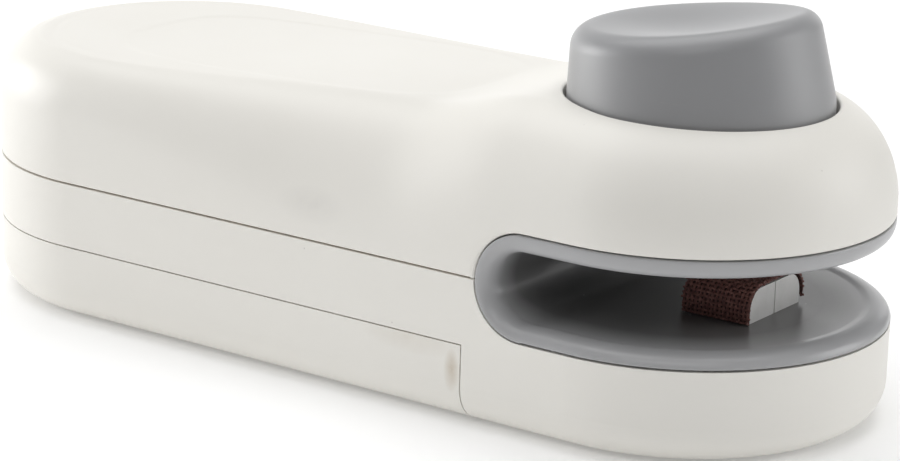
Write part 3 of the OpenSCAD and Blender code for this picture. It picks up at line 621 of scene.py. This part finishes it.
CAD_FINISHES = {
    "upper_shell": SHELL, "lower_shell": SHELL, "battery_door": DOOR_SHELL,
    "jaw_liner": LINER_GREY, "press_button": BUTTON_GREY,
    "plunger": NYLON, "guide_plate": NYLON,
    "switch_base": BLACK_PLASTIC, "battery_tray": BLACK_PLASTIC,
    "press_pad": SILICONE, "heater_block": CERAMIC, "heat_tape": FILM,
    "stem_screw": STEEL, "guide_screws": STEEL, "terminal_screws": STEEL,
    "tray_screws": STEEL, "shell_screws": STEEL, "return_spring": SPRING_STEEL,
    "link_contact": CONTACT_METAL, "positive_contact": CONTACT_METAL,
    "negative_contact": CONTACT_METAL, "switch_leaf": BRASS, "switch_contact": BRASS,
    "heater_terminals": BRASS, "heater_ribbon": RIBBON,
    "left_cell": SLEEVE, "right_cell": SLEEVE,
    "battery_lead": RED_LEAD, "switched_lead": YELLOW_LEAD, "return_lead": BLACK_LEAD,
}
for node_name, finish in CAD_FINISHES.items():
    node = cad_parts[node_name]
    node.data.materials.clear()
    node.data.materials.append(finish)


# ---------------------------------------------------------------- upper shell


def superellipse_inside(x, y):
    """1 well inside the rear top's shallow oval, 0 outside it."""
    ratio = (abs(x - OVAL_X) / OVAL_HALF_L) ** OVAL_POWER + (abs(y) / OVAL_HALF_W) ** OVAL_POWER
    return ease((1 - ratio ** (1 / OVAL_POWER)) * OVAL_HALF_W / OVAL_EDGE + 0.5)


def arc_grooves(x, y):
    """Depth of the shallow concentric grooves round the rear end of the top."""
    reach = math.hypot(x - ARC_X, y)
    fade = ease((ARC_X + ARC_FADE_START - x) / ARC_FADE_RUN)
    return fade * sum(ARC_DEPTH * math.exp(-((reach - r) / ARC_WIDTH) ** 2) for r in ARC_RADII)


def top_height(station, inset, skin=0.0):
    """Height of the roof at an inset from the outline, lowered by a skin's thickness."""
    width = along(station, SHOULDER_W) - skin
    height = along(station, SHOULDER_H) - skin
    drop = max(0.0, min(1.0, 1 - (inset - skin) / width))
    return crown(station) - skin - height * (1 - math.sqrt(1 - drop * drop))


def upper_rim(x):
    """Rim point over a place on the flank and the direction out of the plastic."""
    if x <= SLOT_X - SLOT_R - EDGE_R:
        return x, SEAM_HIGH_Z, 0.0, -1.0
    if x >= SLOT_X:
        return x, LINER_HIGH_Z, 0.0, -1.0
    a = math.acos((SLOT_X - x) / (SLOT_R + EDGE_R))
    z = max(SLOT_MID_Z + SLOT_R * math.sin(a), SEAM_HIGH_Z)
    return SLOT_X - SLOT_R * math.cos(a), z, math.cos(a), -math.sin(a)


def flank_places():
    """Places of the flank's columns, closer together round the slot and the hole."""
    corner = SLOT_X - SLOT_R - EDGE_R
    places = spaced(-END_X, corner, 105)[1:]
    places += [SLOT_X - (SLOT_R + EDGE_R) * math.cos(a) for a in spaced(0, math.pi / 2, 26)[1:]]
    last = math.acos((BUTTON_X - END_X) / HOLE_OUT_R)
    places += [BUTTON_X - HOLE_OUT_R * math.cos(a) for a in spaced(0, last, 34)]
    places += spaced(SLOT_X, END_X, 10)[1:-1]
    kept = []
    for x in sorted(places):
        if x < END_X - END_CLEAR and (not kept or x - kept[-1] > LEAST_STEP):
            kept.append(x)
    return kept


def upper_columns():
    """Near half of the outline: centre x, normal, rim point, the way out, hole flag."""
    columns = []
    for a in spaced(0, math.pi / 2, 56):
        columns.append((-END_X, (-math.cos(a), -math.sin(a)), (-END_X, SEAM_HIGH_Z, 0, -1), False))
    corner = SLOT_X - SLOT_R
    for x in flank_places():
        columns.append((x, NEAR_SIDE, upper_rim(x), x >= BUTTON_X - HOLE_OUT_R - SAME_PLACE))
        if abs(x - corner + EDGE_R) < SAME_PLACE:
            columns.append((x, NEAR_SIDE, (corner, SEAM_HIGH_Z, 1, -1), True))
    for a in spaced(0, math.pi / 2, 48):
        columns.append((END_X, (math.sin(a), -math.cos(a)), (END_X, LINER_HIGH_Z, 0, -1), True))
    return columns


def last_inset(centre_x, normal, in_hole):
    """Inset at which a column ends: the hole's rounded edge or the middle line."""
    if not in_hole:
        return END_R
    off = centre_x - BUTTON_X
    if abs(normal[1]) == 1.0:
        return END_R - math.sqrt(max(0.0, HOLE_OUT_R ** 2 - off ** 2))
    reach = math.sqrt(HOLE_OUT_R ** 2 - off ** 2 * (1 - normal[0] ** 2))
    return END_R + normal[0] * off - reach


def place(centre_x, normal, inset):
    """Point (x, y) at an inset from the outline, along a column's normal."""
    r = END_R - inset
    return centre_x + r * normal[0], r * normal[1]


def upper_outside(column):
    """Points from the rim's inner edge up the side and over the top."""
    centre_x, normal, (rim_x, rim_z, out_x, out_z), in_hole = column
    points = []
    for t in map(math.radians, EDGE_TURNS):
        back = EDGE_R * (1 - math.cos(t))
        x, y = place(rim_x - out_x * back, normal, EDGE_R * (1 - math.sin(t)))
        points.append((x, y, rim_z - out_z * back))
    low = points[-1][2]
    station = centre_x + (END_R - STATION_INSET) * normal[0]
    end = last_inset(centre_x, normal, in_hole)
    for k in range(TOP_STEPS + 1):
        inset = end * (1 - math.cos(math.pi / 2 * k / TOP_STEPS))
        x, y = place(centre_x, normal, inset)
        z = top_height(station, inset) - OVAL_DEPTH * superellipse_inside(x, y) - arc_grooves(x, y)
        points.append((x, y, max(z, low + LEAST_CLIMB * (k + 1))))
    return points


def upper_inside(column):
    """Points from the end of the ceiling down to the rim's inner edge."""
    centre_x, normal, (rim_x, rim_z, _, _), in_hole = column
    station = centre_x + (END_R - STATION_INSET) * normal[0]
    end = last_inset(centre_x, normal, in_hole)
    points = []
    for k in range(ROOF_STEPS + 1):
        inset = WALL + (end - WALL) * (1 - math.cos(math.pi / 2 * k / ROOF_STEPS))
        x, y = place(rim_x if k < FOOT_ROWS else centre_x, normal, inset)
        points.append((x, y, max(top_height(station, inset, WALL), rim_z + LEAST_CLIMB * (k + 1))))
    points.insert(0, (*place(rim_x, normal, WALL), rim_z))
    return points[::-1]


def hole_edge(point, inner):
    """Rounded edge and wall of the button hole under one point of the roof."""
    x, y, z = point
    reach = math.hypot(x - BUTTON_X, y)
    ux, uy = (x - BUTTON_X) / reach, y / reach
    points = []
    for t in map(math.radians, EDGE_TURNS[1:]):
        r = HOLE_OUT_R - EDGE_R * math.sin(t)
        points.append((BUTTON_X + r * ux, r * uy, z - EDGE_R * (1 - math.cos(t))))
    points.append((BUTTON_X + HOLE_R * ux, HOLE_R * uy, inner[2]))
    return points


def half_grid(columns_points, extra_points):
    """Points and faces of one half; extra rows exist only on the hole's columns."""
    points = []
    starts = []
    for rows, extra in zip(columns_points, extra_points):
        starts.append(len(points))
        points += rows + extra
    faces = []
    n = len(columns_points[0])
    for c in range(len(columns_points) - 1):
        a, b = starts[c], starts[c + 1]
        faces += [(a + r, b + r, b + r + 1, a + r + 1) for r in range(n - 1)]
        m = len(extra_points[c])
        if m and extra_points[c + 1]:
            faces += [(a + r, b + r, b + r + 1, a + r + 1) for r in range(n - 1, n + m - 1)]
            faces.append((a + n + m - 1, b + n + m - 1, b, a))
    return points, faces


def mirrored(points, faces):
    """Both halves of a part that is the same on either side."""
    n = len(points)
    far = [(x, -y, z) for x, y, z in points]
    return points + far, faces + [tuple(n + i for i in face[::-1]) for face in faces]


def upper_shell():
    columns = upper_columns()
    rows = [upper_inside(column) + upper_outside(column) for column in columns]
    extras = [hole_edge(r[-1], r[0]) if column[3] else [] for column, r in zip(columns, rows)]
    points, faces = mirrored(*half_grid(rows, extras))
    piece = new_piece("upper_cover", points, faces, "housing", SHELL, ["upper_shell"])
    return sharpen(piece, 40)


def ring(x, y, z, r, sides):
    """Points of a level circle."""
    turns = [2 * math.pi * i / sides for i in range(sides)]
    return [(x + r * math.cos(a), y + r * math.sin(a), z) for a in turns]


def close_tube(faces, start, rows, sides):
    """Adds the walls and both ends of a tube whose rings start at a point's number."""
    faces += [tuple(start + i for i in face) for face in grid_faces(rows, sides, False, True)]
    faces.append(tuple(start + i for i in range(sides))[::-1])
    faces.append(tuple(start + (rows - 1) * sides + i for i in range(sides)))


def posts(name, stand, body, material):
    """Round moulded posts with a small bevel at the foot."""
    points = []
    faces = []
    for x, y, low, high, r in stand:
        start = len(points)
        for z, radius in ((low, r - POST_BEVEL), (low + POST_BEVEL, r), (high, r)):
            points += ring(x, y, z, radius, POST_SIDES)
        close_tube(faces, start, 3, POST_SIDES)
    piece = new_piece(name, points, faces, body, material)
    return sharpen(piece, 40)


def outline(inset, last_x):
    """Near half of the housing's outline at an inset, from the rear up to a place."""
    turns = spaced(0, math.pi / 2, 40)
    line = [place(-END_X, (-math.cos(a), -math.sin(a)), inset) for a in turns]
    line += [(x, inset - END_R) for x in spaced(-END_X, END_X, 60)[1:-1]]
    line += [place(END_X, (math.sin(a), -math.cos(a)), inset) for a in turns]
    return [(x, y) for x, y in line if x <= last_x]


def seam_tongue(name, low_z, high_z, last_x):
    """Thin lapped edge that closes an open line between two shells."""
    near = [outline(inset, last_x) for inset in TONGUE_INSETS]
    low, high = low_z + TONGUE_CLEAR, high_z - TONGUE_CLEAR
    points = []
    for (x1, y1), (x2, y2) in zip(*near):
        points += [(x1, y1, low), (x2, y2, low), (x2, y2, high), (x1, y1, high)]
    n = len(near[0])
    faces = grid_faces(n, 4, False, True)
    faces.append((3, 2, 1, 0))
    faces.append(tuple(4 * (n - 1) + i for i in range(4)))
    points, faces = mirrored(points, faces)
    return sharpen(new_piece(name, points, faces, "housing", TONGUE))


# ---------------------------------------------------------------- jaw lining


def lining_stations():
    """Stations along the C of the mouth, from the floor's nose to the ceiling's nose.

    Each is (centre x, normal, mouth point, back point, lip); the points are (x shift, z)
    and a lip is (depth, inset, rise of its bead over the slot's surface).
    """
    stations = []
    floor_arc = spaced(math.pi / 2, 0, 44)
    back_low = LINER_LOW_Z + LINER_FLOOR_GAP
    back_high = LINER_HIGH_Z - SEAM_GAP
    for a in floor_arc:
        normal = (math.sin(a), -math.cos(a))
        stations.append((END_X, normal, (0, FLOOR_Z), (0, back_low), LIP_FLOOR))
    for x in spaced(END_X, SLOT_X, 14)[1:-1]:
        stations.append((x, NEAR_SIDE, (0, FLOOR_Z), (0, back_low), LIP_FLOOR))
    back_r = SLOT_R - SEAM_GAP
    for a in spaced(-90, 90, 60):
        c, s = math.cos(math.radians(a)), math.sin(math.radians(a))
        mouth = (-MOUTH_R * c, MOUTH_MID_Z + MOUTH_R * s)
        back = (-back_r * c, SLOT_MID_Z + back_r * s)
        stations.append((SLOT_X, NEAR_SIDE, mouth, back, lip_at(a)))
    for x in spaced(SLOT_X, END_X, 14)[1:-1]:
        stations.append((x, NEAR_SIDE, (0, CEILING_Z), (0, back_high), LIP_CEILING))
    for a in reversed(floor_arc):
        normal = (math.sin(a), -math.cos(a))
        stations.append((END_X, normal, (0, CEILING_Z), (0, back_high), LIP_CEILING))
    return stations


def lip_at(angle):
    """The rounded lip at an angle round the slot's inner end."""
    share = ease(abs(angle) / 90)
    other = LIP_FLOOR if angle < 0 else LIP_CEILING
    return tuple(a + (b - a) * share for a, b in zip(LIP_END, other))


def lip_steps(thickness, depth, reach, rise):
    """The lip's section, as insets and distances below the slot's surface."""
    foot = LIP_FOOT_BEVEL
    steps = [(LIP_FOOT, thickness), (foot, thickness - foot), (0, thickness - LIP_FOOT)]
    for t in spaced(0, math.pi / 2, 12):
        steps.append((reach * (1 - math.cos(t)), (depth + rise) * (1 - math.sin(t)) - rise))
    steps += [(reach + LIP_FALL * t, -rise * (1 - ease(t))) for t in spaced(0, 1, 8)[1:]]
    return steps


def lining_loop(station):
    """Closed loop round the lining at one station."""
    centre_x, normal, mouth, back, lip = station
    gap_x, gap_z = back[0] - mouth[0], back[1] - mouth[1]
    thickness = math.hypot(gap_x, gap_z)
    near = []
    for inset, sink in lip_steps(thickness, *lip):
        x, y = place(centre_x + mouth[0] + gap_x / thickness * sink, normal, inset)
        near.append((x, y, mouth[1] + gap_z / thickness * sink))
    far = [(x, -y, z) for x, y, z in near[::-1]]
    x, y, z = near[-1]
    across = [(x, y + (-2 * y) * i / 24, z) for i in range(1, 24)]
    return near + across + far


def jaw_lining():
    loops = [lining_loop(station) for station in lining_stations()]
    points = [point for loop in loops for point in loop]
    faces = grid_faces(len(loops), len(loops[0]), False, True)
    piece = new_piece("jaw_lining", points, faces, "housing", LINER_GREY, ["jaw_liner"])
    floor = (LINER_LOW_Z - CUT_PAST, FLOOR_Z + CUT_PAST)
    cut_window(piece, PAD_WINDOW, 0, (PAD_WINDOW_Z, LINER_HIGH_Z + CUT_PAST))
    cut_window(piece, SCREW_WINDOW, 0, floor)
    for side in (-1, 1):
        cut_window(piece, RIBBON_SLIT, side * RIBBON_SLIT_Y, floor)
    return sharpen(piece, 40)


def cut_window(piece, half, y, heights):
    """Cuts an opening of given half sides at the block's middle and a place y."""
    low = (BLOCK_X - half[0], y - half[1], heights[0])
    high = (BLOCK_X + half[0], y + half[1], heights[1])
    cut_box(piece, low, high)


def box_mesh(name, low, high):
    """A box between two corners, in millimetres."""
    (x0, y0, z0), (x1, y1, z1) = low, high
    points = [(x, y, z) for z in (z0, z1) for x, y in ((x0, y0), (x1, y0), (x1, y1), (x0, y1))]
    faces = [(3, 2, 1, 0), (4, 5, 6, 7), (0, 1, 5, 4), (1, 2, 6, 5), (2, 3, 7, 6), (3, 0, 4, 7)]
    mesh = bpy.data.meshes.new(name)
    mesh.from_pydata([Vector(p) * MM for p in points], [], faces)
    return mesh


def cut_box(piece, low, high):
    """Cuts a box out of a piece's own mesh."""
    cutter = add_to_scene("cutter", box_mesh("cutter", low, high))
    modifier = piece.modifiers.new("cut", "BOOLEAN")
    modifier.operation = "DIFFERENCE"
    modifier.solver = "EXACT"
    modifier.object = cutter
    bpy.context.view_layer.update()
    graph = bpy.context.evaluated_depsgraph_get()
    shaped = bpy.data.meshes.new_from_object(piece.evaluated_get(graph))
    piece.modifiers.clear()
    piece.data = shaped
    bpy.data.objects.remove(cutter)
    set_smooth(shaped)


# ---------------------------------------------------------------- button


def button_side_r(z):
    """Radius of the tapered side at a height."""
    return BUTTON_R - BUTTON_DRAFT * max(0.0, z - TOP_Z)


def button_top(r, turn):
    """Height of the slanted, dished top."""
    dish = BUTTON_DISH * max(0.0, 1 - (r / BUTTON_DISH_R) ** 2) ** 2
    forward = r * math.cos(turn)
    return BUTTON_TOP_Z + BUTTON_SLOPE * forward + BUTTON_BEND * (forward / BUTTON_BEND_R) ** 2 - dish


def button_corner(turn):
    """Where the side would meet the top if the edge between them were sharp."""
    r = BUTTON_R
    for _ in range(6):
        r = button_side_r(button_top(r, turn))
    return r, button_top(r, turn)


def button_edge(start, corner, stop):
    """Round edge from the side to the top, pulled towards their corner."""
    points = []
    for t in spaced(0, 1, 14):
        weights = ((1 - t) ** 2, 2 * t * (1 - t) * EDGE_TENSION, t * t)
        rows = zip(start, corner, stop)
        points.append(tuple(sum(w * v for w, v in zip(weights, row)) / sum(weights) for row in rows))
    return points


def button_profile(turn):
    """Radius and height from the underside of the flange to the middle of the top."""
    corner_r, corner_z = button_corner(turn)
    middle_edge = (BUTTON_EDGE_REAR + BUTTON_EDGE_NOSE) / 2
    edge = middle_edge + (BUTTON_EDGE_NOSE - middle_edge) * math.cos(turn)
    start_z = corner_z - edge
    stop_r = corner_r - edge
    profile = list(FLANGE)
    profile += [(button_side_r(z), z) for z in spaced(BUTTON_SIDE_Z, start_z, 10)[:-1]]
    start = (button_side_r(start_z), start_z)
    profile += button_edge(start, (corner_r, corner_z), (stop_r, button_top(stop_r, turn)))
    profile += [(r, button_top(r, turn)) for r in spaced(stop_r, 0, 22)[1:]]
    return profile


def press_button():
    points = []
    for i in range(BUTTON_COLUMNS):
        turn = 2 * math.pi * i / BUTTON_COLUMNS
        column = list(BUTTON_HOLLOW) + button_profile(turn)
        for r, z in column:
            lean = BUTTON_LEAN * max(0.0, z - TOP_Z)
            points.append((BUTTON_X - lean + r * math.cos(turn), r * math.sin(turn), z))
    faces = grid_faces(BUTTON_COLUMNS, len(column), True, False)
    piece = new_piece("press_cap", points, faces, "button", BUTTON_GREY, ["press_button"])
    return sharpen(piece, 40)


# ---------------------------------------------------------------- tape


def arch_path(offset, near_foot, far_foot, step):
    """Points (y, z) and outward normals of an arch over the block."""
    half = (block_high.y - block_low.y) / 2 + offset
    top = BLOCK_TOP_Z + offset
    r = BLOCK_SHOULDER_R + offset
    bend = max(4, round(r * math.pi / 2 / step))
    path = []
    for z in spaced(near_foot, top - r, max(2, round((top - r - near_foot) / step))):
        path.append((-half, z, -1.0, 0.0))
    for a in spaced(0, math.pi / 2, bend)[1:]:
        c, s = math.cos(a), math.sin(a)
        path.append((-half + r - r * c, top - r + r * s, -c, s))
    for y in spaced(-half + r, half - r, max(2, round(2 * (half - r) / step)))[1:]:
        path.append((y, top, 0.0, 1.0))
    for a in spaced(math.pi / 2, 0, bend)[1:]:
        c, s = math.cos(a), math.sin(a)
        path.append((half - r + r * c, top - r + r * s, c, s))
    for z in spaced(top - r, far_foot, max(2, round((top - r - far_foot) / step)))[1:]:
        path.append((half, z, 1.0, 0.0))
    return path


def lengths(path):
    """Distance along a path at each of its points."""
    total = [0.0]
    for a, b in zip(path, path[1:]):
        total.append(total[-1] + math.hypot(b[0] - a[0], b[1] - a[1]))
    return total


def across_run(run):
    """A direction at right angles to a thread's run that doesn't turn along it."""
    if abs(run.x) > 0.7:
        return run.orthogonal().normalized()
    return run.cross(Vector((1, 0, 0))).normalized()


def tube(points, faces, path, radius, sides=6):
    """Adds a round thread through a list of places."""
    start = len(points)
    for i, here in enumerate(path):
        ahead = path[min(i + 1, len(path) - 1)]
        behind = path[max(i - 1, 0)]
        run = (Vector(ahead) - Vector(behind)).normalized()
        side = across_run(run)
        other = run.cross(side)
        for k in range(sides):
            a = 2 * math.pi * k / sides
            points.append(tuple(Vector(here) + radius * (math.cos(a) * side + math.sin(a) * other)))
    close_tube(faces, start, len(path), sides)


def long_thread(i, x, chance):
    """Places of a thread that runs over the arch at a place x."""
    near = TAPE_NEAR_Z + chance.uniform(0, 0.12)
    far = TAPE_FAR_Z + chance.uniform(-0.25, 0.2)
    path = arch_path(TAPE_MIDDLE, near, far, LONG_STEP)
    sway = chance.uniform(-0.03, 0.03)
    line = []
    for (y, z, ny, nz), s in zip(path, lengths(path)):
        lift = THREAD_WAVE * math.cos(math.pi * (s / THREAD_PITCH + i))
        line.append((x + sway * math.sin(s * SWAY_RATE + i), y + ny * lift, z + nz * lift))
    return line


def cross_thread(j, foot, ends, chance):
    """Places of a thread that runs across the arch, through a foot with its normal."""
    y, z, ny, nz = foot
    front = ends[1] + THREAD_OVERHANG + chance.uniform(-0.06, 0.14)
    rear = ends[0] - THREAD_OVERHANG - chance.uniform(-0.06, 0.14)
    line = []
    for x in spaced(rear, front, 70):
        lift = -THREAD_WAVE * math.cos(math.pi * ((x - ends[0]) / THREAD_PITCH + j + ROW_SHIFT))
        line.append((x, y + ny * lift, z + nz * lift))
    return line


def tape_threads():
    """Woven yarn over the block: threads along the arch and threads across it."""
    chance = random.Random(7)
    points = []
    faces = []
    places = [BLOCK_X + (i - (THREAD_COUNT - 1) / 2) * THREAD_PITCH for i in range(THREAD_COUNT)]
    for i, x in enumerate(places):
        tube(points, faces, long_thread(i, x, chance), THREAD_R)
    path = arch_path(TAPE_MIDDLE, TAPE_NEAR_Z, TAPE_FAR_Z, CROSS_STEP)
    run = lengths(path)
    for j in range(int(run[-1] / THREAD_PITCH) + 1):
        want = (j + ROW_SHIFT) * THREAD_PITCH
        nearest = min(range(len(run)), key=lambda k: abs(run[k] - want))
        line = cross_thread(j, path[nearest], (places[0], places[-1]), chance)
        tube(points, faces, line, THREAD_R)
    return new_piece("tape_threads", points, faces, "housing", YARN)


def tape_film():
    """Thin dark coating inside the weave."""
    arches = [arch_path(offset, TAPE_NEAR_Z, FILM_FAR_Z, FILM_STEP) for offset in FILM_OFFSETS]
    rear, front = block_low.x - FILM_MARGIN, block_high.x + FILM_MARGIN
    points = []
    for inner, outer in zip(*arches):
        points += [(rear, *inner[:2]), (front, *inner[:2]), (front, *outer[:2]), (rear, *outer[:2])]
    faces = grid_faces(len(arches[0]), 4, False, True)
    faces.append((3, 2, 1, 0))
    last = 4 * (len(arches[0]) - 1)
    faces.append((last, last + 1, last + 2, last + 3))
    piece = new_piece("tape_film", points, faces, "housing", FILM, ["heat_tape"])
    return sharpen(piece, 50)


for name, width in EDGE_WIDTHS.items():
    bevel(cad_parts[name], width)
upper_shell()
posts("upper_posts", UPPER_POSTS, "housing", SHELL)
seam_tongue("seam_tongue", SEAM_LOW_Z, SEAM_HIGH_Z, SLOT_X - SLOT_R - 0.5)
seam_tongue("door_tongue", DOOR_Z, DOOR_Z + SEAM_GAP, DOOR_FRONT_X - 0.3)
jaw_lining()
press_button()
posts("press_cap_posts", BUTTON_POSTS, "button", BUTTON_GREY)
tape_film()
tape_threads()


# ---------------------------------------------------------------- studio


def camera_axes():
    """The camera's right, its up and the way back from what it looks at."""
    azimuth = math.radians(CAMERA_AZIMUTH)
    elevation = math.radians(CAMERA_ELEVATION)
    roll = math.radians(CAMERA_ROLL)
    back = Vector((
        math.sin(azimuth) * math.cos(elevation),
        -math.cos(azimuth) * math.cos(elevation),
        math.sin(elevation),
    ))
    level = Vector((math.cos(azimuth), math.sin(azimuth), 0))
    upright = back.cross(level)
    right = level * math.cos(roll) + upright * math.sin(roll)
    up = upright * math.cos(roll) - level * math.sin(roll)
    return right, up, back


def make_camera():
    """The camera stands on the -Y side, ahead of the jaw and above it."""
    right, up, back = camera_axes()
    data = bpy.data.cameras.new("camera")
    data.sensor_width = 36
    data.lens = CAMERA_LENS
    data.clip_start = 0.01
    camera = add_to_scene("camera", data)
    turn = Matrix((right, up, back)).transposed().to_4x4()
    stand = (Vector(CAMERA_TARGET) + back * CAMERA_DISTANCE) * MM
    camera.matrix_world = Matrix.Translation(stand) @ turn
    bpy.context.scene.camera = camera


def make_light(name, place, aim, size, power):
    """A white rectangular lamp; its place, aim and size are in millimetres."""
    data = bpy.data.lights.new(name, "AREA")
    data.shape = "RECTANGLE"
    data.size, data.size_y = (side * MM for side in size)
    data.energy = power
    light = add_to_scene(name, data)
    light.location = Vector(place) * MM
    light.rotation_euler = (Vector(aim) * MM - light.location).to_track_quat("-Z", "Y").to_euler()


def make_studio():
    """White surroundings, the lamps and the table."""
    world = bpy.data.worlds.new("studio")
    bpy.context.scene.world = world
    world.use_nodes = True
    background = world.node_tree.nodes["Background"]
    background.inputs["Color"].default_value = (1, 1, 1, 1)
    background.inputs["Strength"].default_value = WORLD_STRENGTH
    for lamp in LAMPS:
        make_light(*lamp)
    bpy.ops.mesh.primitive_plane_add(size=TABLE_SIZE, location=(0, 0, TABLE_Z))
    floor = bpy.context.object
    floor.name = "table_top"
    floor.data.materials.append(table_top())
    bpy.context.scene.view_settings.view_transform = "Standard"


make_camera()
make_studio()
